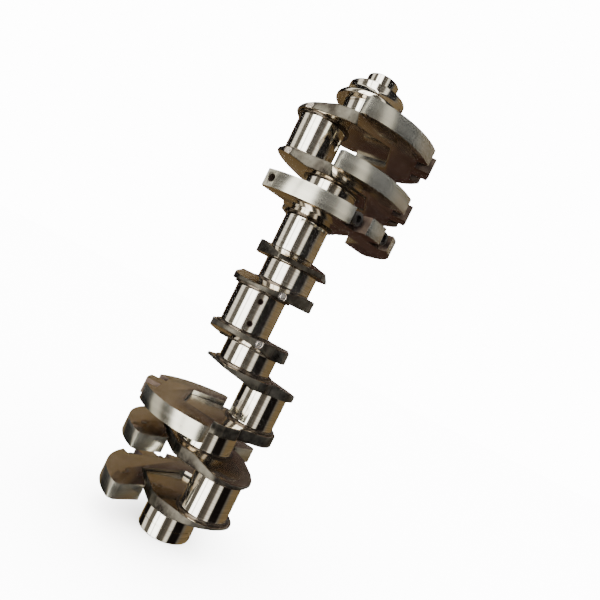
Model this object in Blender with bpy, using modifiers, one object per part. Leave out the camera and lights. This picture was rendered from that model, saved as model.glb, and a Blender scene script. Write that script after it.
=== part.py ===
"""Crankshaft of a large V engine: five crankpins, six main journals and six bolted counterweights.

Metres, +Z up. The shaft stands on its rear end face, whose centre is the origin, and its front nose points up.
Angles are measured from +X, counter-clockwise seen from above.
"""
import math

import bmesh
import bpy
from mathutils import Matrix, Vector

# ---- driving dimensions -------------------------------------------------------------------------------
MAIN_RADIUS = 0.0500
PIN_RADIUS = 0.0450
THROW = 0.0650                     # half of the piston stroke
CYLINDER_PITCH = 0.1600            # from one crankpin's middle to the next
REAR_END_TO_PIN = 0.1162           # rear end face to the middle of the last crankpin
NOSE_END_TO_PIN = 0.1518           # nose end face to the middle of the first crankpin
WEB_OFFSET = 0.0486                # crankpin's middle to a web's middle
WEB_THICKNESS = 0.0220
PIN_PAD_HEIGHT = 0.0032            # ground shoulder around each crankpin
MAIN_PAD_HEIGHT = 0.0012           # ground shoulder around each main journal
PAD_MARGIN = 0.0060
PIN_ANGLES = (180, 108, 252, 36, 324)

NOSE_RADIUS = 0.0300
NOSE_LENGTH = 0.0268
HUB_RADIUS = 0.0540
HUB_STRAIGHT = 0.0150
COLLAR_RADIUS = 0.0668
COLLAR_EDGE = 0.0090
COLLAR_REAR_FROM_NOSE = 0.0605
REAR_GROOVE_HEIGHT = 0.0225
REAR_GROOVE_DEPTH = 0.0012
REAR_GROOVE_WIDTH = 0.0025

# web outline, measured from the shaft's axis towards the crankpin (along) and across it (half widths)
BOSS_LENGTH = 0.0540               # half length and half width of the oval around the crankpin
BOSS_HALF_WIDTH = 0.0580
SHOULDER_HALF_WIDTH = 0.0770
SHOULDER_START = 0.0380
SHOULDER_END = 0.0050
SEAT_DISTANCE = 0.0670             # axis to the flat that a counterweight is bolted to
SEAT_HALF_WIDTH = 0.0430
PLAIN_TAIL_DISTANCE = 0.0580
BOSS_RAMP_START = 0.0470           # the main journal side of a boss thins towards its tip from here
STEEP_RAMP = 14.2
SHALLOW_RAMP = 10.0
TAIL_RAMP_START = 0.0010           # the crankpin side of a plain tail thins from here
TAIL_RAMP = 13.0
BEVEL_START = 0.0360               # across: the crankpin side of one plain shoulder thins from here
SHOULDER_BEVEL = 27.0

COUNTERWEIGHT_OFFSET = 0.0459      # crankpin's middle to a counterweight's middle
COUNTERWEIGHT_RADIUS = 0.1480
COUNTERWEIGHT_THICKNESS = 0.0289
COUNTERWEIGHT_END = 0.0030        # axis to the flat ends of the arms
COUNTERWEIGHT_SWING = 30           # turn of weights 3 and 8 away from straight opposite their crankpin
ARM_INNER_HALF_WIDTH = 0.0880      # inside of the arms at their ends
ARM_CHAMFER = 0.0080
JOINT_GAP = 0.0003
POCKET_OUTER = 0.0540              # across: where a bolt pocket starts and ends
POCKET_INNER = 0.0200
POCKET_FLOOR = 0.1180              # axis to the face under the bolt head
BALANCE_HOLE_RADIUS = 0.0072
BALANCE_HOLE_DEPTH = 0.0200
BALANCE_HOLE_ANGLE = -80
BALANCED_WEIGHT = 3

BOLT_OFFSET = 0.0475               # crankpin's middle to the counterweight bolts beside it
BOLT_ACROSS = 0.0370
BOLT_RADIUS = 0.0080
BOLT_HEAD_RADIUS = 0.0120
BOLT_HEAD_HEIGHT = 0.0160
BOLT_SOCKET_RADIUS = 0.0065
BOLT_SOCKET_DEPTH = 0.0080
BOLT_REACH = 0.0420                # axis to the tip of a bolt

OIL_HOLE_RADIUS = 0.0045
OIL_HOLE_DEPTH = 0.0140
OIL_HOLE_SPACING = 0.0200          # from a crankpin's middle
OIL_HOLE_LEAD = 32                 # turned from the crankpin's outermost line
PLUG_RADIUS = 0.0042
PLUG_DEPTH = 0.0050
PLUG_RECESS = 0.0008
PLUG_LEAD = 60
PLUG_FROM_FACE = 0.0054            # crankpin side of a web to a plug's middle

HUB_HOLE_CIRCLE = 0.0430
HUB_HOLE_RADIUS = 0.0050
HUB_HOLE_DEPTH = 0.0100
HUB_HOLES = 8
REAR_HOLE_CIRCLE = 0.0360
REAR_HOLE_RADIUS = 0.0070
REAR_HOLE_DEPTH = 0.0250
REAR_HOLES = 8

ROUND_STEPS = 36
HOLE_STEPS = 12

TOP = 1
BOTTOM = -1
LEFT = 1
RIGHT = -1

# web number: (turn of its seat from straight opposite the crankpin, has a counterweight,
#              slope of its boss ramp, side of its bevelled shoulder)
WEBS = {
    1: (0, True, STEEP_RAMP, None), 2: (0, True, STEEP_RAMP, None),
    3: (COUNTERWEIGHT_SWING, True, None, None), 4: (0, False, None, RIGHT),
    5: (0, False, SHALLOW_RAMP, None), 6: (0, False, SHALLOW_RAMP, None),
    7: (0, False, None, LEFT), 8: (-COUNTERWEIGHT_SWING, True, None, None),
    9: (0, True, STEEP_RAMP, None), 10: (0, True, STEEP_RAMP, None),
}

PIN_HEIGHTS = [REAR_END_TO_PIN + CYLINDER_PITCH * (4 - index) for index in range(5)]
NOSE_END = PIN_HEIGHTS[0] + NOSE_END_TO_PIN


def main_side(number):
    """Odd webs have their main journal above them, even webs below."""
    return TOP if number % 2 else BOTTOM


def height_beside_pin(number, offset):
    return PIN_HEIGHTS[(number - 1) // 2] + main_side(number) * offset


def web_height(number):
    return height_beside_pin(number, WEB_OFFSET)


def pin_angle(number):
    return PIN_ANGLES[(number - 1) // 2]


def seat_angle(number):
    return pin_angle(number) + 180 + WEBS[number][0]


def place(angle, height):
    return Matrix.Translation((0, 0, height)) @ Matrix.Rotation(math.radians(angle), 4, "Z")


# ---- scene helpers ------------------------------------------------------------------------------------
def clear_scene():
    for item in list(bpy.data.objects):
        bpy.data.objects.remove(item, do_unlink=True)


def new_collection(name):
    collection = bpy.data.collections.new(name)
    bpy.context.scene.collection.children.link(collection)
    return collection


def steel(name, colour, roughness):
    material = bpy.data.materials.new(name)
    material.use_nodes = True
    shader = material.node_tree.nodes["Principled BSDF"]
    shader.inputs["Base Color"].default_value = (*colour, 1)
    shader.inputs["Metallic"].default_value = 1.0
    shader.inputs["Roughness"].default_value = roughness
    return material


def as_object(name, mesh, collection):
    item = bpy.data.objects.new(name, mesh)
    collection.objects.link(item)
    return item


def as_cutter(item):
    item.hide_render = True
    item.display_type = "WIRE"
    return item


def cylinder(name, radius, low, high, collection, steps=ROUND_STEPS, matrix=None):
    """A cylinder along Z from low to high, then moved by the matrix."""
    mesh = bpy.data.meshes.new(name)
    form = bmesh.new()
    bmesh.ops.create_cone(form, cap_ends=True, segments=steps, radius1=radius, radius2=radius,
                          depth=high - low, matrix=Matrix.Translation((0, 0, (low + high) / 2)))
    form.to_mesh(mesh)
    form.free()
    if matrix is not None:
        mesh.transform(matrix)
    return as_object(name, mesh, collection)


def box(name, low, high, collection, matrix=None):
    mesh = bpy.data.meshes.new(name)
    form = bmesh.new()
    size = Vector(high) - Vector(low)
    middle = (Vector(high) + Vector(low)) / 2
    bmesh.ops.create_cube(form, size=1, matrix=Matrix.Translation(middle) @ Matrix.Diagonal((*size, 1)))
    form.to_mesh(mesh)
    form.free()
    if matrix is not None:
        mesh.transform(matrix)
    return as_object(name, mesh, collection)


def plate(name, outline, thickness, collection, matrix):
    """A flat outline with the given thickness, made as a filled 2D curve and turned into a mesh."""
    curve = bpy.data.curves.new(name, "CURVE")
    curve.dimensions = "2D"
    curve.fill_mode = "BOTH"
    curve.extrude = thickness / 2
    spline = curve.splines.new("POLY")
    spline.points.add(len(outline) - 1)
    for point, (x, y) in zip(spline.points, outline):
        point.co = (x, y, 0, 1)
    spline.use_cyclic_u = True
    flat = as_object(name + "_curve", curve, collection)
    bpy.context.view_layer.update()
    mesh = bpy.data.meshes.new_from_object(flat.evaluated_get(bpy.context.evaluated_depsgraph_get()))
    bpy.data.objects.remove(flat, do_unlink=True)
    form = bmesh.new()
    form.from_mesh(mesh)
    bmesh.ops.remove_doubles(form, verts=form.verts, dist=0.00001)
    bmesh.ops.recalc_face_normals(form, faces=form.faces)
    form.to_mesh(mesh)
    form.free()
    mesh.transform(matrix)
    return as_object(name, mesh, collection)


def apply_modifiers(item):
    evaluated = item.evaluated_get(bpy.context.evaluated_depsgraph_get())
    mesh = bpy.data.meshes.new_from_object(evaluated)
    item.modifiers.clear()
    item.data = mesh


def join_flat_faces(item):
    form = bmesh.new()
    form.from_mesh(item.data)
    bmesh.ops.remove_doubles(form, verts=form.verts, dist=0.00002)
    bmesh.ops.dissolve_limit(form, angle_limit=math.radians(0.5), verts=form.verts, edges=form.edges)
    form.to_mesh(item.data)
    form.free()


def combine(item, others, operation):
    """Joins or cuts item with the others, one after the other, and removes them."""
    join_flat_faces(item)
    for other in others:
        change = item.modifiers.new(other.name, "BOOLEAN")
        change.operation = operation
        change.object = other
        change.solver = "EXACT"
        bpy.context.view_layer.update()
        apply_modifiers(item)
        join_flat_faces(item)
        bpy.data.objects.remove(other, do_unlink=True)


def finish(item, material):
    item.data.materials.clear()
    item.data.materials.append(material)
    item.data.shade_smooth()
    item.data.set_sharp_from_angle(angle=math.radians(30))


# ---- the forged shaft ---------------------------------------------------------------------------------
def boss_outline():
    """The oval end of a web around its crankpin, with a straight neck back to the shaft's axis."""
    points = []
    for step in range(21):
        turn = math.radians(-100 + 200 * step / 20)
        points.append((THROW + BOSS_LENGTH * math.cos(turn), BOSS_HALF_WIDTH * math.sin(turn)))
    neck = BOSS_HALF_WIDTH * 0.95
    return [(0, -neck)] + points + [(0, neck)]


def shoulder_outline(tail, tail_half_width):
    """The middle of a web: two square shoulders across, tapering to a flat-ended tail.

    The tail points along -X here, so that its outline shares the crankpin's direction.
    """
    waist = MAIN_RADIUS + 0.004
    half = [(SHOULDER_START + 0.012, waist), (SHOULDER_START, SHOULDER_HALF_WIDTH - 0.003),
            (SHOULDER_START - 0.004, SHOULDER_HALF_WIDTH), (SHOULDER_END, SHOULDER_HALF_WIDTH),
            (-tail, tail_half_width)]
    return half + [(x, -y) for x, y in reversed(half)]


def slope_cutter(name, frame, side, angle, cutters):
    """A block over the half plane along +X of the frame, above (or below) it and tilted into it."""
    low = (0, -0.12, 0) if side == TOP else (0, -0.12, -0.05)
    high = (0.14, 0.12, 0.05) if side == TOP else (0.14, 0.12, 0)
    tilt = Matrix.Rotation(math.radians(side * angle), 4, "Y")
    return box(name, low, high, cutters, frame @ tilt)


def web(number, cutters):
    turn, has_weight, ramp, bevel = WEBS[number]
    height = web_height(number)
    boss = plate(f"web_{number}", boss_outline(), WEB_THICKNESS, cutters, place(pin_angle(number), height))
    tail = SEAT_DISTANCE if has_weight else PLAIN_TAIL_DISTANCE
    middle = plate(f"web_middle_{number}", shoulder_outline(tail, SEAT_HALF_WIDTH),
                   WEB_THICKNESS, cutters, place(pin_angle(number) + turn, height))
    combine(boss, [middle], "UNION")
    slopes = []
    if ramp:
        face = height + main_side(number) * WEB_THICKNESS / 2
        frame = place(pin_angle(number), face) @ Matrix.Translation((BOSS_RAMP_START, 0, 0))
        slopes.append(slope_cutter(f"ramp_{number}", frame, main_side(number), ramp, cutters))
    if bevel:
        pin_face = height - main_side(number) * WEB_THICKNESS / 2
        tail_frame = place(pin_angle(number) + 180, pin_face) @ Matrix.Translation((TAIL_RAMP_START, 0, 0))
        side_frame = place(pin_angle(number) + bevel * 90, pin_face) @ Matrix.Translation((BEVEL_START, 0, 0))
        slopes.append(slope_cutter(f"tail_ramp_{number}", tail_frame, -main_side(number), TAIL_RAMP, cutters))
        slopes.append(slope_cutter(f"bevel_{number}", side_frame, -main_side(number), SHOULDER_BEVEL, cutters))
    if slopes:
        combine(boss, slopes, "DIFFERENCE")
    return boss


def front_end(cutters):
    """Nose spigot, damper hub and flared collar as one turned shape, above the first main journal."""
    hub_face = NOSE_END - NOSE_LENGTH
    collar_rear = NOSE_END - COLLAR_REAR_FROM_NOSE
    chamfer = 0.002
    profile = [(0, NOSE_END), (NOSE_RADIUS - chamfer, NOSE_END), (NOSE_RADIUS, NOSE_END - chamfer),
               (NOSE_RADIUS, hub_face), (HUB_RADIUS - chamfer, hub_face), (HUB_RADIUS, hub_face - chamfer),
               (HUB_RADIUS, hub_face - HUB_STRAIGHT), (COLLAR_RADIUS - 0.0008, collar_rear + COLLAR_EDGE),
               (COLLAR_RADIUS, collar_rear + COLLAR_EDGE / 2), (COLLAR_RADIUS - 0.001, collar_rear),
               (0, collar_rear)]
    return turned("front_end", profile, cutters)


def turned(name, profile, collection, steps=ROUND_STEPS):
    """A closed turned shape from an outer profile that runs from top to bottom at +X."""
    mesh = bpy.data.meshes.new(name)
    form = bmesh.new()
    corners = [form.verts.new((radius, 0, height)) for radius, height in profile]
    for first, second in zip(corners, corners[1:]):
        form.edges.new((first, second))
    form.to_mesh(mesh)
    form.free()
    item = as_object(name, mesh, collection)
    screw = item.modifiers.new("turning", "SCREW")
    screw.steps = steps
    screw.render_steps = steps
    screw.use_merge_vertices = True
    screw.merge_threshold = 0.00001
    bpy.context.view_layer.update()
    apply_modifiers(item)
    return item


def radial(angle, height, distance):
    """Frame whose +Z points outwards across the shaft at the angle, starting at the distance from the axis."""
    return place(angle, height) @ Matrix.Translation((distance, 0, 0)) @ Matrix.Rotation(math.pi / 2, 4, "Y")


def pin_centre(index):
    return Matrix.Translation((THROW * math.cos(math.radians(PIN_ANGLES[index])),
                               THROW * math.sin(math.radians(PIN_ANGLES[index])), 0))


def forging(parts, cutters):
    shaft = cylinder("crankshaft_forging", MAIN_RADIUS, 0, web_height(10), parts)
    joined = [front_end(cutters)]
    collar_rear = NOSE_END - COLLAR_REAR_FROM_NOSE
    half = WEB_THICKNESS / 2
    joined.append(cylinder("main_1", MAIN_RADIUS, web_height(1), collar_rear + 0.002, cutters))
    for number in (2, 4, 6, 8):
        joined.append(cylinder(f"main_{number}", MAIN_RADIUS, web_height(number + 1), web_height(number),
                               cutters))
    for number in WEBS:
        joined.append(web(number, cutters))
        side = main_side(number)
        height = web_height(number)
        joined.append(cylinder(f"main_pad_{number}", MAIN_RADIUS + PAD_MARGIN,
                               *sorted((height, height + side * (half + MAIN_PAD_HEIGHT))), cutters))
        joined.append(cylinder(f"pin_pad_{number}", PIN_RADIUS + PAD_MARGIN,
                               *sorted((height, height - side * (half + PIN_PAD_HEIGHT))), cutters,
                               matrix=pin_centre((number - 1) // 2)))
    for index, height in enumerate(PIN_HEIGHTS):
        joined.append(cylinder(f"pin_{index + 1}", PIN_RADIUS, height - WEB_OFFSET, height + WEB_OFFSET,
                               cutters, matrix=pin_centre(index)))
    combine(shaft, joined, "UNION")
    combine(shaft, shaft_holes(cutters), "DIFFERENCE")
    return shaft


def shaft_holes(cutters):
    """Rear groove, oil holes, plug recesses, counterweight bolt threads and the end faces' bolt holes."""
    holes = []
    groove = cylinder("groove", MAIN_RADIUS + 0.01, REAR_GROOVE_HEIGHT, REAR_GROOVE_HEIGHT + REAR_GROOVE_WIDTH,
                      cutters)
    core = cylinder("groove_core", MAIN_RADIUS - REAR_GROOVE_DEPTH, REAR_GROOVE_HEIGHT - 0.01,
                    REAR_GROOVE_HEIGHT + 0.01, cutters)
    combine(groove, [core], "DIFFERENCE")
    holes.append(groove)
    for index, height in enumerate(PIN_HEIGHTS):
        for side in (TOP, BOTTOM):
            where = pin_centre(index) @ radial(PIN_ANGLES[index] + OIL_HOLE_LEAD,
                                               height + side * OIL_HOLE_SPACING, PIN_RADIUS)
            holes.append(cylinder(f"oil_hole_{index}_{side}", OIL_HOLE_RADIUS, -OIL_HOLE_DEPTH, 0.01,
                                  cutters, steps=HOLE_STEPS, matrix=where))
    for number in WEBS:
        holes.append(cylinder(f"plug_seat_{number}", PLUG_RADIUS + JOINT_GAP, -PLUG_DEPTH - PLUG_RECESS, 0.02,
                              cutters, steps=HOLE_STEPS, matrix=plug_frame(number)))
        if WEBS[number][1]:
            for across in (-BOLT_ACROSS, BOLT_ACROSS):
                holes.append(cylinder(f"thread_{number}_{across}", BOLT_RADIUS + JOINT_GAP,
                                      BOLT_REACH - 0.002, SEAT_DISTANCE + 0.01, cutters, steps=HOLE_STEPS,
                                      matrix=bolt_frame(number, across)))
    hub_face = NOSE_END - NOSE_LENGTH
    for step in range(HUB_HOLES):
        matrix = place(360 * step / HUB_HOLES, 0) @ Matrix.Translation((HUB_HOLE_CIRCLE, 0, 0))
        holes.append(cylinder(f"hub_hole_{step}", HUB_HOLE_RADIUS, hub_face - HUB_HOLE_DEPTH, hub_face + 0.01,
                              cutters, steps=HOLE_STEPS, matrix=matrix))
    for step in range(REAR_HOLES):
        matrix = place(360 * (step + 0.5) / REAR_HOLES, 0) @ Matrix.Translation((REAR_HOLE_CIRCLE, 0, 0))
        holes.append(cylinder(f"rear_hole_{step}", REAR_HOLE_RADIUS, -0.01, REAR_HOLE_DEPTH, cutters,
                              steps=HOLE_STEPS, matrix=matrix))
    return holes


# ---- counterweights and what fastens them -------------------------------------------------------------
def bolt_frame(number, across):
    """Frame whose +Z runs outwards along a counterweight bolt, starting level with the shaft's axis."""
    return (place(seat_angle(number), height_beside_pin(number, BOLT_OFFSET))
            @ Matrix.Translation((0, across, 0)) @ Matrix.Rotation(math.pi / 2, 4, "Y"))


def counterweight_outline():
    """Half disc with two arms: the outer arc, the flat ends and the recess that takes the web's tail."""
    start = math.asin((COUNTERWEIGHT_END + ARM_CHAMFER) / COUNTERWEIGHT_RADIUS)
    steps = 40
    points = []
    for step in range(steps + 1):
        turn = -math.pi / 2 + start + (math.pi - 2 * start) * step / steps
        points.append((COUNTERWEIGHT_RADIUS * math.cos(turn), COUNTERWEIGHT_RADIUS * math.sin(turn)))
    tip = points[-1][1] - ARM_CHAMFER
    inner = [(COUNTERWEIGHT_END, tip), (COUNTERWEIGHT_END, ARM_INNER_HALF_WIDTH),
             (SEAT_DISTANCE + JOINT_GAP, SEAT_HALF_WIDTH + 0.012)]
    return points + inner + [(x, -y) for x, y in reversed(inner)]


def counterweight(number, parts, cutters):
    height = height_beside_pin(number, COUNTERWEIGHT_OFFSET)
    frame = place(seat_angle(number), height)
    weight = plate(f"counterweight_{number}", counterweight_outline(), COUNTERWEIGHT_THICKNESS, parts, frame)
    reach = COUNTERWEIGHT_RADIUS + 0.01
    half = COUNTERWEIGHT_THICKNESS / 2
    cuts = []
    for side in (TOP, BOTTOM):
        across = sorted((side * POCKET_INNER, side * POCKET_OUTER))
        cuts.append(box(f"pocket_{number}_{side}", (POCKET_FLOOR, across[0], -half - 0.01),
                        (reach, across[1], half + 0.01), cutters, frame))
        cuts.append(cylinder(f"bolt_hole_{number}_{side}", BOLT_RADIUS + JOINT_GAP, SEAT_DISTANCE - 0.01,
                             POCKET_FLOOR + 0.01, cutters, steps=HOLE_STEPS,
                             matrix=bolt_frame(number, side * BOLT_ACROSS)))
    if number == BALANCED_WEIGHT:
        cuts.append(cylinder(f"balance_hole_{number}", BALANCE_HOLE_RADIUS, -BALANCE_HOLE_DEPTH, 0.02,
                             cutters, steps=HOLE_STEPS,
                             matrix=radial(seat_angle(number) + BALANCE_HOLE_ANGLE, height,
                                           COUNTERWEIGHT_RADIUS)))
    combine(weight, cuts, "DIFFERENCE")
    return weight


def bolt(number, side, parts, cutters):
    """Socket-head bolt from a pocket's floor through the counterweight into the web."""
    under_head = POCKET_FLOOR + JOINT_GAP
    top = under_head + BOLT_HEAD_HEIGHT
    profile = [(0, top - BOLT_SOCKET_DEPTH), (BOLT_SOCKET_RADIUS, top - BOLT_SOCKET_DEPTH),
               (BOLT_SOCKET_RADIUS, top), (BOLT_HEAD_RADIUS - 0.001, top), (BOLT_HEAD_RADIUS, top - 0.001),
               (BOLT_HEAD_RADIUS, under_head), (BOLT_RADIUS, under_head), (BOLT_RADIUS, BOLT_REACH + 0.002),
               (BOLT_RADIUS - 0.002, BOLT_REACH), (0, BOLT_REACH)]
    name = f"counterweight_{number}_bolt_{'a' if side == TOP else 'b'}"
    item = turned(name, profile, parts, steps=16)
    item.data.transform(bolt_frame(number, side * BOLT_ACROSS))
    return item


def plug_frame(number):
    """Frame of an oilway plug: +Z outwards through the rim of the web's boss, beside the crankpin."""
    height = main_side(number) * (PLUG_FROM_FACE - WEB_THICKNESS / 2)
    turn = math.radians(PLUG_LEAD)
    rim = Vector((THROW + BOSS_LENGTH * math.cos(turn), BOSS_HALF_WIDTH * math.sin(turn), height))
    outwards = math.degrees(math.atan2(math.sin(turn) / BOSS_HALF_WIDTH, math.cos(turn) / BOSS_LENGTH))
    return (place(pin_angle(number), web_height(number)) @ Matrix.Translation(rim)
            @ Matrix.Rotation(math.radians(outwards), 4, "Z") @ Matrix.Rotation(math.pi / 2, 4, "Y"))


def plug(number, parts):
    return cylinder(f"oilway_plug_{number}", PLUG_RADIUS, -PLUG_DEPTH - PLUG_RECESS + JOINT_GAP, -PLUG_RECESS,
                    parts, steps=24, matrix=plug_frame(number))


def build():
    clear_scene()
    parts = new_collection("crankshaft")
    cutters = new_collection("cutters")
    finish(forging(parts, cutters), steel("ground_forged_steel", (0.56, 0.55, 0.52), 0.22))
    weight_steel = steel("turned_counterweight_steel", (0.62, 0.61, 0.57), 0.32)
    bolt_steel = steel("blackened_bolt_steel", (0.09, 0.09, 0.09), 0.38)
    plug_steel = steel("bright_plug_steel", (0.66, 0.64, 0.60), 0.25)
    for number in WEBS:
        finish(plug(number, parts), plug_steel)
        if not WEBS[number][1]:
            continue
        finish(counterweight(number, parts, cutters), weight_steel)
        for side in (TOP, BOTTOM):
            finish(bolt(number, side, parts, cutters), bolt_steel)


build()
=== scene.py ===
"""Looks of the crankshaft: turned journals, forged webs, machined counterweights, studio and camera.

Metres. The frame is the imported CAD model: +Z runs along the shaft from its rear end to its nose, and angles
are measured from +X, counter-clockwise seen from above. Odd webs have their main journal above them.
"""
import math

import bmesh
import bpy
from mathutils import Matrix, Vector


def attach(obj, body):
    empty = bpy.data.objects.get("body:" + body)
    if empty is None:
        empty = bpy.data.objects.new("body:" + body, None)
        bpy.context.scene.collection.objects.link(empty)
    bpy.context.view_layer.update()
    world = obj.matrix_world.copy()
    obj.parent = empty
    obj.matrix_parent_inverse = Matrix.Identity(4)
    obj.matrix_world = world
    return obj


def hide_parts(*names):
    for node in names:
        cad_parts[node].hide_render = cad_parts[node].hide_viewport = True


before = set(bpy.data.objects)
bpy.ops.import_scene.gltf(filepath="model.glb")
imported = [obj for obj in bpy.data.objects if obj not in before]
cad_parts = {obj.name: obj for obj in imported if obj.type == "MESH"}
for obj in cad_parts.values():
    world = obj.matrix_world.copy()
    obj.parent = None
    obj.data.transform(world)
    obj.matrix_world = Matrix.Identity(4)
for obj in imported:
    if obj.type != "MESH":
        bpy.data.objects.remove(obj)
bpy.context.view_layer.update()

# ---- driving dimensions, as in the CAD model ------------------------------------------------------------
MAIN_RADIUS = 0.0500
PIN_RADIUS = 0.0450
THROW = 0.0650
CYLINDER_PITCH = 0.1600
REAR_END_TO_PIN = 0.1162
NOSE_END_TO_PIN = 0.1518
PIN_ANGLES = (180, 108, 252, 36, 324)
PIN_FACE = 0.0376                  # crankpin's middle to the web faces beside it
MAIN_FACE = 0.0596                 # crankpin's middle to the web faces at the main journals
PIN_PAD_HEIGHT = 0.0032
MAIN_PAD_HEIGHT = 0.0012
PAD_MARGIN = 0.0060
BOSS_LENGTH = 0.0540               # half length and half width of a web's oval end round its crankpin
BOSS_HALF_WIDTH = 0.0580
SEAT_DISTANCE = 0.0670             # axis to the flat that a counterweight is bolted to
SEAT_HALF_WIDTH = 0.0430
TAIL_DISTANCE = 0.0580             # axis to the flat end of a web without a counterweight
COUNTERWEIGHT_RADIUS = 0.1480
NOSE_RADIUS = 0.0300
NOSE_LENGTH = 0.0268
HUB_RADIUS = 0.0540
HUB_STRAIGHT = 0.0150
COLLAR_RADIUS = 0.0668
COLLAR_REAR_FROM_NOSE = 0.0605
REAR_GROOVE_HEIGHT = 0.0225
OIL_HOLE_RADIUS = 0.0045
OIL_HOLE_SPACING = 0.0200
OIL_HOLE_LEAD = 32
HUB_HOLE_CIRCLE = 0.0430
HUB_HOLE_RADIUS = 0.0050
REAR_HOLE_CIRCLE = 0.0360
REAR_HOLE_RADIUS = 0.0070
END_HOLES = 8

BALANCE_HOLE_ANGLE = -80
BALANCED_WEIGHT = 3
PLUG_RADIUS = 0.0042
PLUG_LEAD = 60
PLUG_FROM_FACE = 0.0054
PLUG_PROUD = 0.0003
SPOT_RADIUS = 0.0078
SPOT_DEPTH = 0.0012

# ---- finer shape, only here -----------------------------------------------------------------------------
SHOULDER_HALF_WIDTH = 0.0715       # square corners of a web's middle, which run straight into its boss
SHOULDER_START = 0.0200
SHOULDER_END = 0.0040
BOSS_SLOPE_START = 0.0470          # axis to where a boss starts to thin towards its tip
TAIL_SLOPE_START = 0.0010          # axis to where a plain tail starts to thin, on the crankpin side
TAIL_SLOPE = 13
BEVEL_START = 0.0360               # axis to where one shoulder of webs 4 and 7 starts to thin
SHOULDER_BEVEL = 27
WEB_EDGE = 0.0022                  # rounding of a forged web's edges
WEIGHT_EDGE = 0.0009               # broken edges of a counterweight
TURNED_STEPS = 144
FILLET = 0.0025
BURIED = 0.004                     # how far a journal reaches into the web beside it
OIL_HOLE_DEPTH = 0.014
HUB_HOLE_DEPTH = 0.010
REAR_HOLE_DEPTH = 0.025
CENTRE_HOLE = dict(radius=0.0060, depth=0.012, countersink=0.003)
REAR_GROOVE_DEPTH = 0.0012

TOP = 1
BOTTOM = -1
PIN_HEIGHTS = [REAR_END_TO_PIN + CYLINDER_PITCH * (4 - index) for index in range(5)]
NOSE_END = PIN_HEIGHTS[0] + NOSE_END_TO_PIN

# For each web: slope = how steeply its boss thins on the main journal's side, in degrees; turn = turn of its
# middle away from straight opposite the crankpin; plain = it has no counterweight; bevel = the side of its
# bevelled shoulder; boss and middle = its two faces from the crankpin's middle, where they aren't the usual.
WEBS = {
    1: dict(slope=14), 2: dict(slope=14), 3: dict(turn=30),
    4: dict(plain=True, bevel=-1, slope=7),
    5: dict(plain=True, slope=12),
    6: dict(plain=True, slope=12, middle=(0.0420, 0.0636), boss=(0.0376, 0.0610)),
    7: dict(plain=True, bevel=1, slope=9, middle=(0.0376, 0.0560), boss=(0.0350, 0.0560)),
    8: dict(turn=-30), 9: dict(slope=14), 10: dict(slope=14),
}


def main_side(number):
    return TOP if number % 2 else BOTTOM


def pin_of(number):
    return (number - 1) // 2


def place(angle, height):
    return Matrix.Translation((0, 0, height)) @ Matrix.Rotation(math.radians(angle), 4, "Z")


def pin_centre(index):
    return place(PIN_ANGLES[index], 0) @ Matrix.Translation((THROW, 0, 0))


# ---- materials ------------------------------------------------------------------------------------------
class Nodes:
    """Short-hand for building one material's node tree."""

    def __init__(self, name):
        self.material = bpy.data.materials.new(name)
        self.material.use_nodes = True
        self.tree = self.material.node_tree
        self.shader = self.tree.nodes["Principled BSDF"]

    def add(self, kind, **settings):
        node = self.tree.nodes.new(kind)
        for key, value in settings.items():
            if key in node.inputs:
                node.inputs[key].default_value = value
            else:
                setattr(node, key, value)
        return node

    def link(self, source, target):
        self.tree.links.new(source, target)

    def place_noise(self, scale, stretch=(1, 1, 1), detail=4):
        """Noise in object space, stretched along an axis by a small factor there."""
        where = self.add("ShaderNodeTexCoord")
        mapping = self.add("ShaderNodeMapping")
        mapping.inputs["Scale"].default_value = stretch
        noise = self.add("ShaderNodeTexNoise", Scale=scale, Detail=detail)
        self.link(where.outputs["Object"], mapping.inputs["Vector"])
        self.link(mapping.outputs["Vector"], noise.inputs["Vector"])
        return noise.outputs["Fac"]

    def ramp(self, source, stops):
        ramp = self.add("ShaderNodeValToRGB")
        elements = ramp.color_ramp.elements
        while len(elements) > 1:
            elements.remove(elements[-1])
        elements[0].position, elements[0].color = stops[0]
        for position, colour in stops[1:]:
            elements.new(position).color = colour
        self.link(source, ramp.inputs["Fac"])
        return ramp.outputs["Color"]

    def spread(self, source, low, high):
        node = self.add("ShaderNodeMapRange")
        node.inputs["From Min"].default_value = 0.3
        node.inputs["From Max"].default_value = 0.7
        node.inputs["To Min"].default_value = low
        node.inputs["To Max"].default_value = high
        self.link(source, node.inputs["Value"])
        return node.outputs["Result"]

    def bump(self, source, strength, distance):
        node = self.add("ShaderNodeBump", Strength=strength, Distance=distance)
        self.link(source, node.inputs["Height"])
        self.link(node.outputs["Normal"], self.shader.inputs["Normal"])


def grey(r, g, b):
    return (r, g, b, 1)


def metal(name, dark, light, rough, noise_scale, stretch, bump=0.0, grain=None, distance=0.0002):
    """Bare steel: two tones mottled by stretched noise, roughness that follows it, and a fine bump."""
    nodes = Nodes(name)
    mottle = nodes.place_noise(noise_scale, stretch)
    nodes.link(nodes.ramp(mottle, [(0.32, dark), (0.68, light)]), nodes.shader.inputs["Base Color"])
    nodes.link(nodes.spread(mottle, *rough), nodes.shader.inputs["Roughness"])
    nodes.shader.inputs["Metallic"].default_value = 1.0
    if bump:
        fine = nodes.place_noise(*grain) if grain else mottle
        nodes.bump(fine, bump, distance)
    return nodes.material


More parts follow.
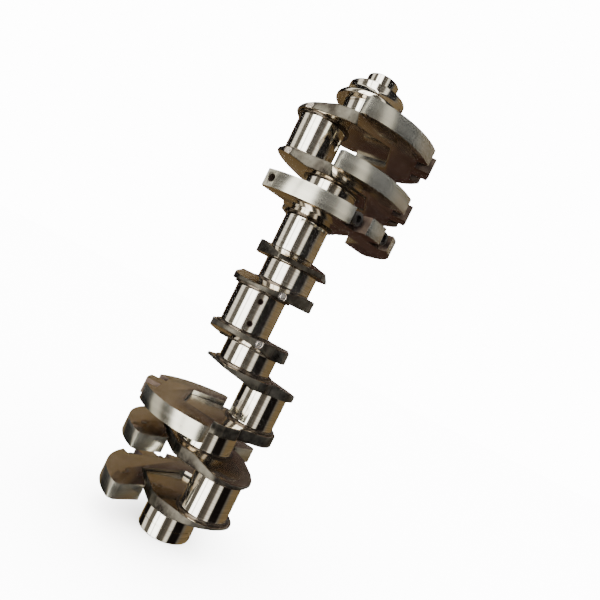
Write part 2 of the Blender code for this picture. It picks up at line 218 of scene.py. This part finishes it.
def make_materials():
    """Journals ground round their axis, so their fine lines run across Z; webs as forged and blasted."""
    around = (1, 1, 60)
    return {
        "journal": metal("ground_journal", grey(0.70, 0.68, 0.63), grey(0.90, 0.88, 0.82), (0.035, 0.075),
                         9, around, bump=0.03, grain=(25, (0.5, 0.5, 60))),
        # The ledge material's near-black colour is painted shade on the fillets and pads where a journal
        # meets its webs.
        "shaded_ledge": metal("ledge_painted_shade", grey(0.045, 0.036, 0.030), grey(0.13, 0.11, 0.09), (0.16, 0.26),
                       12, around),
        "rim": metal("turned_rim", grey(0.37, 0.365, 0.32), grey(0.50, 0.49, 0.43), (0.16, 0.21),
                     7, (1, 1, 12), bump=0.05, grain=(30, (0.5, 0.5, 40))),
        "face": metal("milled_face", grey(0.44, 0.38, 0.30), grey(0.56, 0.49, 0.39), (0.10, 0.15),
                      9, (1, 1, 1), bump=0.05, grain=(120, (1, 0.12, 1))),
        "forged": metal("forged_side", grey(0.022, 0.019, 0.016), grey(0.105, 0.098, 0.082), (0.26, 0.42),
                        34, (1, 1, 1), bump=0.60, grain=(190, (1, 1, 1)), distance=0.0007),
        # The recess material's dark colour is painted shade: it darkens the insides of holes, bolt pockets
        # and the balance hole.
        "recess": metal("dark_recess", grey(0.035, 0.025, 0.022), grey(0.10, 0.075, 0.06), (0.40, 0.60),
                        60, (1, 1, 1), bump=0.2, grain=(200, (1, 1, 1))),
        "bolt": metal("black_oxide_bolt", grey(0.03, 0.028, 0.026), grey(0.09, 0.085, 0.08), (0.32, 0.48),
                      70, (1, 1, 1), bump=0.15, grain=(240, (1, 1, 1))),
        "plug": metal("bright_plug", grey(0.62, 0.55, 0.50), grey(0.85, 0.80, 0.74), (0.16, 0.26),
                      90, (1, 1, 1)),
    }


# ---- mesh helpers ---------------------------------------------------------------------------------------
def add_object(name, form, materials, body="root"):
    mesh = bpy.data.meshes.new(name)
    form.to_mesh(mesh)
    form.free()
    item = bpy.data.objects.new(name, mesh)
    bpy.context.scene.collection.objects.link(item)
    for material in materials:
        mesh.materials.append(material)
    if body:
        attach(item, body)
    return item


def smooth(item, angle=35):
    item.data.shade_smooth()
    item.data.set_sharp_from_angle(angle=math.radians(angle))


def apply_modifiers(item):
    graph = bpy.context.evaluated_depsgraph_get()
    mesh = bpy.data.meshes.new_from_object(item.evaluated_get(graph), preserve_all_data_layers=True,
                                           depsgraph=graph)
    item.modifiers.clear()
    item.data = mesh


def lathe_form(profile, steps=TURNED_STEPS, matrix=None):
    """A turned solid from (radius, height) points from top to bottom; its ends are closed flat."""
    form = bmesh.new()
    rings = []
    for radius, height in profile:
        turns = (2 * math.pi * step / steps for step in range(steps))
        rings.append([form.verts.new((radius * math.cos(t), radius * math.sin(t), height)) for t in turns])
    for upper, lower in zip(rings, rings[1:]):
        for step in range(steps):
            after = (step + 1) % steps
            form.faces.new((upper[step], lower[step], lower[after], upper[after]))
    form.faces.new(rings[0])
    form.faces.new(list(reversed(rings[-1])))
    if matrix:
        form.transform(matrix)
    return form


def arc(centre, radius, start, end, steps=6):
    """Points on a profile's round corner, with angles in degrees."""
    turns = (math.radians(start + (end - start) * step / steps) for step in range(steps + 1))
    return [(centre[0] + radius * math.cos(t), centre[1] + radius * math.sin(t)) for t in turns]


def cut(item, cutters):
    """Boolean cuts, one after the other; the cutters' materials are kept on the faces they leave."""
    for cutter in cutters:
        change = item.modifiers.new("cut", "BOOLEAN")
        change.operation = "DIFFERENCE"
        change.object = cutter
        change.solver = "EXACT"
        change.material_mode = "TRANSFER"
        bpy.context.view_layer.update()
        apply_modifiers(item)
        bpy.data.objects.remove(cutter, do_unlink=True)


def drill(radius, depth, matrix, material, countersink=0.0008, above=0.004, steps=32):
    """A cutter for a hole along the matrix's +Z, which starts at the surface and has a small chamfer."""
    lip = 0.00007                  # keeps the chamfer's edge out of the surface's own plane
    profile = [(radius + countersink, above), (radius + countersink, -lip), (radius, -lip - countersink),
               (radius, -depth)]
    return add_object("drill", lathe_form(profile, steps, matrix), [material], body=None)


def bevel(item, width, segments=2, angle=30):
    edge = item.modifiers.new("edges", "BEVEL")
    edge.width = width
    edge.segments = segments
    edge.limit_method = "ANGLE"
    edge.angle_limit = math.radians(angle)
    edge.harden_normals = False
    edge.use_clamp_overlap = True
    bpy.context.view_layer.update()
    apply_modifiers(item)


def finish_slots(item, rule):
    """Gives each face the material index that the rule picks from its centre and normal."""
    for face in item.data.polygons:
        face.material_index = rule(face.center, face.normal)


# ---- journals -------------------------------------------------------------------------------------------
def journal_profile(radius, top, bottom, pad):
    """A ground journal between two webs: its pads beyond the ends, and a small fillet before each."""
    outer = radius + PAD_MARGIN
    chamfer = 0.0006
    upper = [(outer, top + BURIED), (outer, top - pad + chamfer), (outer - chamfer, top - pad)]
    upper += arc((radius + FILLET, top - pad - FILLET), FILLET, 90, 180)
    lower = [(r, top + bottom - z) for r, z in reversed(upper)]
    return upper + lower


def journal(name, radius, top, bottom, pad, materials, matrix=None):
    item = add_object(name, lathe_form(journal_profile(radius, top, bottom, pad), matrix=matrix),
                      [materials["journal"], materials["shaded_ledge"], materials["recess"]])
    limit = radius + 0.0004
    centre = matrix.translation if matrix else Vector((0, 0, 0))

    def rule(where, normal):
        # Faces beyond the journal's radius, its fillets and pads, get the ledge's painted shade.
        return 0 if math.hypot(where.x - centre.x, where.y - centre.y) < limit else 1

    finish_slots(item, rule)
    return item


def crankpin(index, materials):
    height = PIN_HEIGHTS[index]
    item = journal(f"crankpin_{index + 1}", PIN_RADIUS, height + PIN_FACE, height - PIN_FACE,
                   PIN_PAD_HEIGHT, materials, pin_centre(index))
    drills = []
    for side in (TOP, BOTTOM):
        where = (Matrix.Translation(pin_centre(index).translation)
                 @ place(PIN_ANGLES[index] + OIL_HOLE_LEAD, height + side * OIL_HOLE_SPACING)
                 @ Matrix.Translation((PIN_RADIUS, 0, 0)) @ Matrix.Rotation(math.pi / 2, 4, "Y"))
        # The oil holes take the recess material's painted shade.
        drills.append(drill(OIL_HOLE_RADIUS, OIL_HOLE_DEPTH, where, materials["recess"]))
    cut(item, drills)
    smooth(item)
    return item


def main_journals(materials):
    """Main journals 2 to 5; the first belongs to the front end and the last is the grooved rear end."""
    items = []
    for number in (2, 4, 6, 8):
        index = number // 2
        top = PIN_HEIGHTS[index - 1] - MAIN_FACE
        bottom = PIN_HEIGHTS[index] + MAIN_FACE
        item = journal(f"main_journal_{index + 1}", MAIN_RADIUS, top, bottom, MAIN_PAD_HEIGHT, materials)
        smooth(item)
        items.append(item)
    return items


def front_end(materials):
    """Nose, damper hub, flared collar and the first main journal, as one turned shape."""
    hub_face = NOSE_END - NOSE_LENGTH
    collar_rear = NOSE_END - COLLAR_REAR_FROM_NOSE
    web_top = PIN_HEIGHTS[0] + MAIN_FACE
    flare_end = collar_rear + 0.0085
    profile = [(NOSE_RADIUS - 0.0035, NOSE_END)]
    profile += arc((NOSE_RADIUS - 0.0025, NOSE_END - 0.0025), 0.0025, 80, 0)
    profile += arc((NOSE_RADIUS + 0.0015, hub_face + 0.0015), 0.0015, 180, 270)
    profile += arc((HUB_RADIUS - 0.0020, hub_face - 0.0020), 0.0020, 90, 0)
    profile += [(HUB_RADIUS, hub_face - HUB_STRAIGHT + 0.003), (HUB_RADIUS + 0.0008, hub_face - HUB_STRAIGHT)]
    profile += [(COLLAR_RADIUS - 0.0018, flare_end), (COLLAR_RADIUS, flare_end - 0.003)]
    profile += arc((COLLAR_RADIUS - 0.0020, collar_rear + 0.0020), 0.0020, 0, -90)
    profile += arc((MAIN_RADIUS + FILLET, collar_rear - FILLET), FILLET, 90, 180)
    profile += arc((MAIN_RADIUS + FILLET, web_top + MAIN_PAD_HEIGHT + FILLET), FILLET, 180, 270)
    pad = MAIN_RADIUS + PAD_MARGIN
    profile += [(pad, web_top + MAIN_PAD_HEIGHT), (pad, web_top - BURIED)]
    item = add_object("front_end", lathe_form(profile),
                      [materials["journal"], materials["face"], materials["recess"]])
    finish_slots(item, lambda where, normal: 1 if abs(normal.z) > 0.9 else 0)
    # The hub's holes and the centre hole take the recess material's painted shade.
    drills = []
    for step in range(END_HOLES):
        where = place(360 * step / END_HOLES, hub_face) @ Matrix.Translation((HUB_HOLE_CIRCLE, 0, 0))
        drills.append(drill(HUB_HOLE_RADIUS, HUB_HOLE_DEPTH, where, materials["recess"]))
    drills.append(drill(matrix=Matrix.Translation((0, 0, NOSE_END)), material=materials["recess"],
                        **CENTRE_HOLE))
    cut(item, drills)
    smooth(item)
    return item


def rear_end(materials):
    """The last main journal with its groove and the threaded holes in the end face."""
    top = PIN_HEIGHTS[4] - MAIN_FACE
    pad = MAIN_RADIUS + PAD_MARGIN
    profile = [(pad, top + BURIED), (pad, top - MAIN_PAD_HEIGHT)]
    profile += arc((MAIN_RADIUS + FILLET, top - MAIN_PAD_HEIGHT - FILLET), FILLET, 90, 180)
    floor_radius = MAIN_RADIUS - REAR_GROOVE_DEPTH
    profile += [(MAIN_RADIUS, REAR_GROOVE_HEIGHT + 0.0022), (floor_radius, REAR_GROOVE_HEIGHT + 0.0015),
                (floor_radius, REAR_GROOVE_HEIGHT + 0.0005), (MAIN_RADIUS, REAR_GROOVE_HEIGHT - 0.0003)]
    profile += arc((MAIN_RADIUS - 0.0022, 0.0022), 0.0022, 0, -90)
    item = add_object("rear_end", lathe_form(profile),
                      [materials["journal"], materials["face"], materials["recess"]])
    finish_slots(item, lambda where, normal: 1 if abs(normal.z) > 0.9 else 0)
    # The threaded holes in the end face take the recess material's painted shade.
    drills = []
    for step in range(END_HOLES):
        where = (place(360 * (step + 0.5) / END_HOLES, 0) @ Matrix.Translation((REAR_HOLE_CIRCLE, 0, 0))
                 @ Matrix.Rotation(math.pi, 4, "X"))
        drills.append(drill(REAR_HOLE_RADIUS, REAR_HOLE_DEPTH, where, materials["recess"]))
    cut(item, drills)
    smooth(item)
    return item


# ---- webs -----------------------------------------------------------------------------------------------
def corner(before, point, after, radius, steps=5):
    """The curve that rounds an outline's corner."""
    point, before, after = Vector(point), Vector(before), Vector(after)
    back, forth = (before - point).normalized(), (after - point).normalized()
    half = back.angle(forth) / 2
    reach = min(radius / math.tan(half), 0.45 * (before - point).length, 0.45 * (after - point).length)
    start, end = point + back * reach, point + forth * reach
    curve = []
    for step in range(steps + 1):
        t = step / steps
        curve.append((1 - t) ** 2 * start + 2 * t * (1 - t) * point + t ** 2 * end)
    return [tuple(p) for p in curve]


def outline_with_corners(points):
    """An outline from (x, y) points and (x, y, radius) points, whose corners are rounded."""
    whole = []
    count = len(points)
    for i, point in enumerate(points):
        if len(point) == 2:
            whole.append(point)
        else:
            whole += corner(points[i - 1][:2], point[:2], points[(i + 1) % count][:2], point[2])
    return whole


def boss_points(limit, steps=40):
    """The oval round the crankpin, from -limit to +limit degrees off the web's own direction."""
    points = []
    for step in range(steps + 1):
        turn = math.radians(-limit + 2 * limit * step / steps)
        points.append((THROW + BOSS_LENGTH * math.cos(turn), BOSS_HALF_WIDTH * math.sin(turn)))
    return points


def tangent_turn():
    """Where a straight flank from the shoulder's corner touches the boss, as the boss's own angle."""
    along = (SHOULDER_START - THROW) / BOSS_LENGTH
    across = SHOULDER_HALF_WIDTH / BOSS_HALF_WIDTH
    return math.degrees(math.atan2(across, along) - math.acos(1 / math.hypot(along, across)))


def shoulder_side(tail):
    return [(SHOULDER_START, SHOULDER_HALF_WIDTH, 0.012), (SHOULDER_END, SHOULDER_HALF_WIDTH, 0.008),
            (-tail, SEAT_HALF_WIDTH, 0.004)]


def mirrored(points):
    return [(p[0], -p[1], *p[2:]) for p in reversed(points)]


def full_outline(tail):
    side = shoulder_side(tail)
    return outline_with_corners(boss_points(tangent_turn()) + side + mirrored(side))


def boss_outline():
    neck = BOSS_HALF_WIDTH * 0.95
    return [(0, -neck)] + boss_points(96) + [(0, neck)]


def middle_outline(tail):
    """The middle of a web as a shape of its own, for webs whose middle is turned or stands lower."""
    side = [(SHOULDER_START + 0.026, MAIN_RADIUS, 0.008)] + shoulder_side(tail)
    return outline_with_corners(side + mirrored(side))


def plate_form(outline, low, high, matrix):
    form = bmesh.new()
    rings = [[form.verts.new((x, y, z)) for x, y in outline] for z in (low, high)]
    form.faces.new(list(reversed(rings[0])))
    form.faces.new(rings[1])
    for i in range(len(outline)):
        j = (i + 1) % len(outline)
        form.faces.new((rings[0][i], rings[0][j], rings[1][j], rings[1][i]))
    bmesh.ops.recalc_face_normals(form, faces=form.faces)
    form.transform(matrix)
    return form


def slice_off(form, matrix, start, side, angle):
    """Cuts away what lies beyond a plane through (start, 0, 0) of the matrix, tilted down towards +X."""
    tilt = math.radians(angle)
    normal = Vector((math.sin(tilt), 0, side * math.cos(tilt)))
    point = matrix @ Vector((start, 0, 0))
    direction = matrix.to_3x3() @ normal
    geometry = list(form.verts) + list(form.edges) + list(form.faces)
    result = bmesh.ops.bisect_plane(form, geom=geometry, plane_co=point, plane_no=direction,
                                    clear_outer=True)
    edges = [e for e in result["geom_cut"] if isinstance(e, bmesh.types.BMEdge)]
    bmesh.ops.edgeloop_fill(form, edges=edges)


def web(number, materials):
    """A plate from its outline, thinned by sloped cuts, with rounded edges and a plug's spot face."""
    facts = WEBS[number]
    index = pin_of(number)
    side = main_side(number)
    height = PIN_HEIGHTS[index]
    angle = PIN_ANGLES[index]
    boss_faces = facts.get("boss", (PIN_FACE, MAIN_FACE))
    middle_faces = facts.get("middle", (PIN_FACE, MAIN_FACE))
    tail = TAIL_DISTANCE if facts.get("plain") else SEAT_DISTANCE
    turn = facts.get("turn", 0)
    one_piece = not turn and boss_faces == middle_faces
    low, high = sorted(height + side * f for f in boss_faces)
    outline = full_outline(tail) if one_piece else boss_outline()
    form = plate_form(outline, low, high, place(angle, 0))
    main_face = place(angle, height + side * boss_faces[1])
    if facts.get("slope"):
        slice_off(form, main_face, BOSS_SLOPE_START, side, facts["slope"])
    bmesh.ops.recalc_face_normals(form, faces=form.faces)
    item = add_object(f"web_{number}", form, [materials["forged"], materials["face"]])
    if not one_piece:
        low, high = sorted(height + side * f for f in middle_faces)
        middle = plate_form(middle_outline(tail), low, high, place(angle + turn, 0))
        if facts.get("bevel"):
            cut_tail(middle, number, height + side * middle_faces[0])
        other = add_object("middle", middle, [materials["forged"]], body=None)
        join(item, other)
    elif facts.get("bevel"):
        reform(item, lambda f: cut_tail(f, number, height + side * middle_faces[0]))
    bevel(item, WEB_EDGE, segments=3, angle=24)
    finish_slots(item, lambda where, normal: 1 if abs(normal.z) > 0.9 else 0)
    item.data.materials.append(materials["plug"])
    cut(item, [drill(SPOT_RADIUS, 0.0004, plug_place(number), materials["plug"], 0.0002, 0.008)])
    smooth(item, 40)
    return item


def cut_tail(form, number, pin_face):
    """A plain web's crankpin side thins towards its tail and towards one shoulder."""
    angle = PIN_ANGLES[pin_of(number)]
    side = -main_side(number)
    slice_off(form, place(angle + 180, pin_face), TAIL_SLOPE_START, side, TAIL_SLOPE)
    slice_off(form, place(angle + WEBS[number]["bevel"] * 90, pin_face), BEVEL_START, side, SHOULDER_BEVEL)


def reform(item, change):
    form = bmesh.new()
    form.from_mesh(item.data)
    change(form)
    bmesh.ops.recalc_face_normals(form, faces=form.faces)
    form.to_mesh(item.data)
    form.free()


def join(item, other):
    change = item.modifiers.new("join", "BOOLEAN")
    change.operation = "UNION"
    change.object = other
    change.solver = "EXACT"
    bpy.context.view_layer.update()
    apply_modifiers(item)
    bpy.data.objects.remove(other, do_unlink=True)
    reform(item, lambda f: bmesh.ops.dissolve_limit(f, angle_limit=math.radians(1), verts=f.verts,
                                                    edges=f.edges))


# ---- counterweights, bolts and plugs --------------------------------------------------------------------
def counterweight(number, materials):
    """The CAD node's own shape with its edges broken and its machined faces told apart."""
    node = f"counterweight_{number}"
    form = bmesh.new()
    form.from_mesh(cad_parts[node].data)
    bmesh.ops.remove_doubles(form, verts=form.verts, dist=0.00001)
    bmesh.ops.dissolve_limit(form, angle_limit=math.radians(0.6), verts=form.verts, edges=form.edges)
    item = add_object(f"weight_{number}", form, [materials["rim"], materials["face"], materials["recess"]])
    bevel(item, WEIGHT_EDGE, segments=2, angle=35)

    def rule(where, normal):
        distance = math.hypot(where.x, where.y)
        if abs(normal.z) > 0.75:
            return 1
        # Bolt pockets and the balance hole get the recess material's painted shade.
        if 0.10 < distance < COUNTERWEIGHT_RADIUS - 0.003 and in_pocket(where, number):
            return 2
        return 0

    finish_slots(item, rule)
    smooth(item, 32)
    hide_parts(node)
    return item


def in_pocket(where, number):
    """Whether a face belongs to a bolt pocket or to the balance hole."""
    angle = PIN_ANGLES[pin_of(number)] + 180 + WEBS[number].get("turn", 0)
    local = place(angle, 0).inverted() @ Vector(where)
    beside_hole = (place(angle + BALANCE_HOLE_ANGLE, 0).inverted() @ Vector(where)).y
    return abs(local.y) < 0.056 or (number == BALANCED_WEIGHT and abs(beside_hole) < 0.0085 and local.y < 0)


def plug(number, materials):
    """A bright plug that closes an oilway, a little proud of its spot face on the web's rim."""
    profile = [(PLUG_RADIUS - 0.0012, PLUG_PROUD), (PLUG_RADIUS - 0.0004, PLUG_PROUD),
               (PLUG_RADIUS, PLUG_PROUD - 0.0004), (PLUG_RADIUS, -0.004)]
    item = add_object(f"plug_{number}", lathe_form(profile, 48, plug_place(number)), [materials["plug"]])
    smooth(item)
    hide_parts(f"oilway_plug_{number}")
    return item


def plug_place(number):
    """Frame whose +Z points out of the web's rim where an oilway comes out, level with the spot face."""
    turn = math.radians(PLUG_LEAD)
    along = THROW + BOSS_LENGTH * math.cos(turn)
    across = BOSS_HALF_WIDTH * math.sin(turn)
    normal = math.degrees(math.atan2(math.sin(turn) / BOSS_HALF_WIDTH, math.cos(turn) / BOSS_LENGTH))
    height = PIN_HEIGHTS[pin_of(number)] + main_side(number) * (PIN_FACE + PLUG_FROM_FACE)
    return (place(PIN_ANGLES[pin_of(number)], height) @ Matrix.Translation((along, across, 0))
            @ Matrix.Rotation(math.radians(normal), 4, "Z") @ Matrix.Rotation(math.pi / 2, 4, "Y")
            @ Matrix.Translation((0, 0, -SPOT_DEPTH)))


def keep_bolts(materials):
    """The bolts are shown as the CAD nodes they are, in a better material."""
    for name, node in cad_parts.items():
        if "bolt" in name:
            node.data.materials[0] = materials["bolt"]


# ---- studio and camera ----------------------------------------------------------------------------------
# What polished steel reflects, by compass direction: degrees from the camera's side towards +X.
WARM_WALL = (0.205, 0.142, 0.068)
DARK_ROOM = (0.008, 0.006, 0.005)
DARK_WALL = (0.055, 0.030, 0.022)
SOFT_GREY = (0.150, 0.130, 0.100)
DIM_GREY = (0.075, 0.064, 0.050)
SIDE_PANEL = (1.30, 1.20, 1.00)
PALE_PANEL = (7.0, 6.8, 6.2)
PANEL_SEAM = (0.90, 0.85, 0.72)
SURROUNDINGS = [
    (-180, DARK_WALL), (-176, DARK_WALL), (-166, WARM_WALL), (-142, WARM_WALL),
    (-132, DARK_ROOM), (-99, DARK_ROOM),
    (-93, SIDE_PANEL), (-77, SIDE_PANEL), (-71, SOFT_GREY), (-52, SOFT_GREY),
    (-47, PALE_PANEL), (-37, PALE_PANEL), (-34, PANEL_SEAM), (-31, PALE_PANEL), (-11, PALE_PANEL),
    (-6, SOFT_GREY), (4, DIM_GREY), (22, SOFT_GREY), (29, SIDE_PANEL),
    (38, SIDE_PANEL), (45, DARK_ROOM), (80, DARK_ROOM), (89, SOFT_GREY),
    (105, WARM_WALL), (150, WARM_WALL), (162, DARK_WALL), (180, DARK_WALL),
]
WHITE_LEVEL = 14.0                 # how bright the plain pale backdrop and its light on the floor are


def studio_world():
    """A plain white studio to the camera, and bands of panels and dark room in reflections only."""
    world = bpy.data.worlds.new("studio")
    bpy.context.scene.world = world
    world.use_nodes = True
    tree = world.node_tree
    tree.nodes.clear()
    make = tree.nodes.new
    link = tree.links.new
    where = make("ShaderNodeTexCoord")
    parts = make("ShaderNodeSeparateXYZ")
    link(where.outputs["Generated"], parts.inputs[0])
    flip = make("ShaderNodeMath")
    flip.operation = "MULTIPLY"
    flip.inputs[1].default_value = -1
    link(parts.outputs["Y"], flip.inputs[0])
    compass = make("ShaderNodeMath")
    compass.operation = "ARCTAN2"
    link(parts.outputs["X"], compass.inputs[0])
    link(flip.outputs[0], compass.inputs[1])
    fraction = make("ShaderNodeMapRange")
    fraction.inputs["From Min"].default_value = -math.pi
    fraction.inputs["From Max"].default_value = math.pi
    link(compass.outputs[0], fraction.inputs["Value"])
    ramp = make("ShaderNodeValToRGB")
    elements = ramp.color_ramp.elements
    while len(elements) > 1:
        elements.remove(elements[-1])
    elements[0].position = 0
    elements[0].color = (*(c / WHITE_LEVEL for c in SURROUNDINGS[0][1]), 1)
    for degrees, colour in SURROUNDINGS[1:]:
        elements.new((degrees + 180) / 360).color = (*(c / WHITE_LEVEL for c in colour), 1)
    link(fraction.outputs["Result"], ramp.inputs["Fac"])
    path = make("ShaderNodeLightPath")
    seen = make("ShaderNodeMixRGB")
    seen.inputs["Color1"].default_value = (1, 1, 1, 1)
    link(path.outputs["Is Glossy Ray"], seen.inputs["Fac"])
    link(ramp.outputs["Color"], seen.inputs["Color2"])
    background = make("ShaderNodeBackground")
    background.inputs["Strength"].default_value = WHITE_LEVEL
    output = make("ShaderNodeOutputWorld")
    link(seen.outputs["Color"], background.inputs["Color"])
    link(background.outputs[0], output.inputs["Surface"])


def floor():
    """Plain pale floor; left out of reflections, which show the studio instead."""
    form = bmesh.new()
    bmesh.ops.create_grid(form, x_segments=1, y_segments=1, size=6)
    nodes = Nodes("pale_floor")
    nodes.shader.inputs["Base Color"].default_value = (0.95, 0.95, 0.95, 1)
    nodes.shader.inputs["Roughness"].default_value = 0.9
    nodes.shader.inputs["Specular IOR Level"].default_value = 0.0
    item = add_object("floor", form, [nodes.material], body=None)
    item.location.z = -0.0006
    item.visible_glossy = False


def soft_light(name, location, size, power):
    """A soft area light that brightens the floor round the shaft."""
    lamp = bpy.data.lights.new(name, "AREA")
    lamp.shape = "RECTANGLE"
    lamp.size, lamp.size_y = size
    lamp.energy = power
    item = bpy.data.objects.new(name, lamp)
    item.location = location
    aim = Vector((0, 0, 0.45)) - Vector(location)
    item.rotation_euler = aim.to_track_quat("-Z", "Y").to_euler()
    item.visible_camera = False
    item.visible_glossy = False
    bpy.context.scene.collection.objects.link(item)


CAMERA_PLACE = (0.1213, -0.9906, 0.4679)
CAMERA_AIM = (0.0628, 0.0, 0.4411)
CAMERA_ROLL = 26.33
CAMERA_LENS = 32.74
CAMERA_RISE = 0.05


def camera():
    data = bpy.data.cameras.new("camera")
    data.lens = CAMERA_LENS
    data.sensor_width = 36
    data.shift_y = CAMERA_RISE
    data.clip_start = 0.01
    item = bpy.data.objects.new("camera", data)
    item.location = CAMERA_PLACE
    aim = (Vector(CAMERA_AIM) - Vector(CAMERA_PLACE)).to_track_quat("-Z", "Y")
    roll = Matrix.Rotation(math.radians(CAMERA_ROLL), 4, "Z").to_quaternion()
    item.rotation_mode = "QUATERNION"
    item.rotation_quaternion = aim @ roll
    bpy.context.scene.collection.objects.link(item)
    bpy.context.scene.camera = item


# ---- build ----------------------------------------------------------------------------------------------
materials = make_materials()
shaft = [front_end(materials), rear_end(materials)] + main_journals(materials)
shaft += [crankpin(index, materials) for index in range(5)]
shaft += [web(number, materials) for number in WEBS]
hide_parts("crankshaft_forging")
for number in (1, 2, 3, 8, 9, 10):
    counterweight(number, materials)
for number in WEBS:
    plug(number, materials)
keep_bolts(materials)
studio_world()
floor()
soft_light("key", (-0.9, -1.3, 1.6), (1.2, 1.2), 12)
soft_light("fill", (1.3, -0.9, 1.0), (1.0, 1.0), 6)
camera()
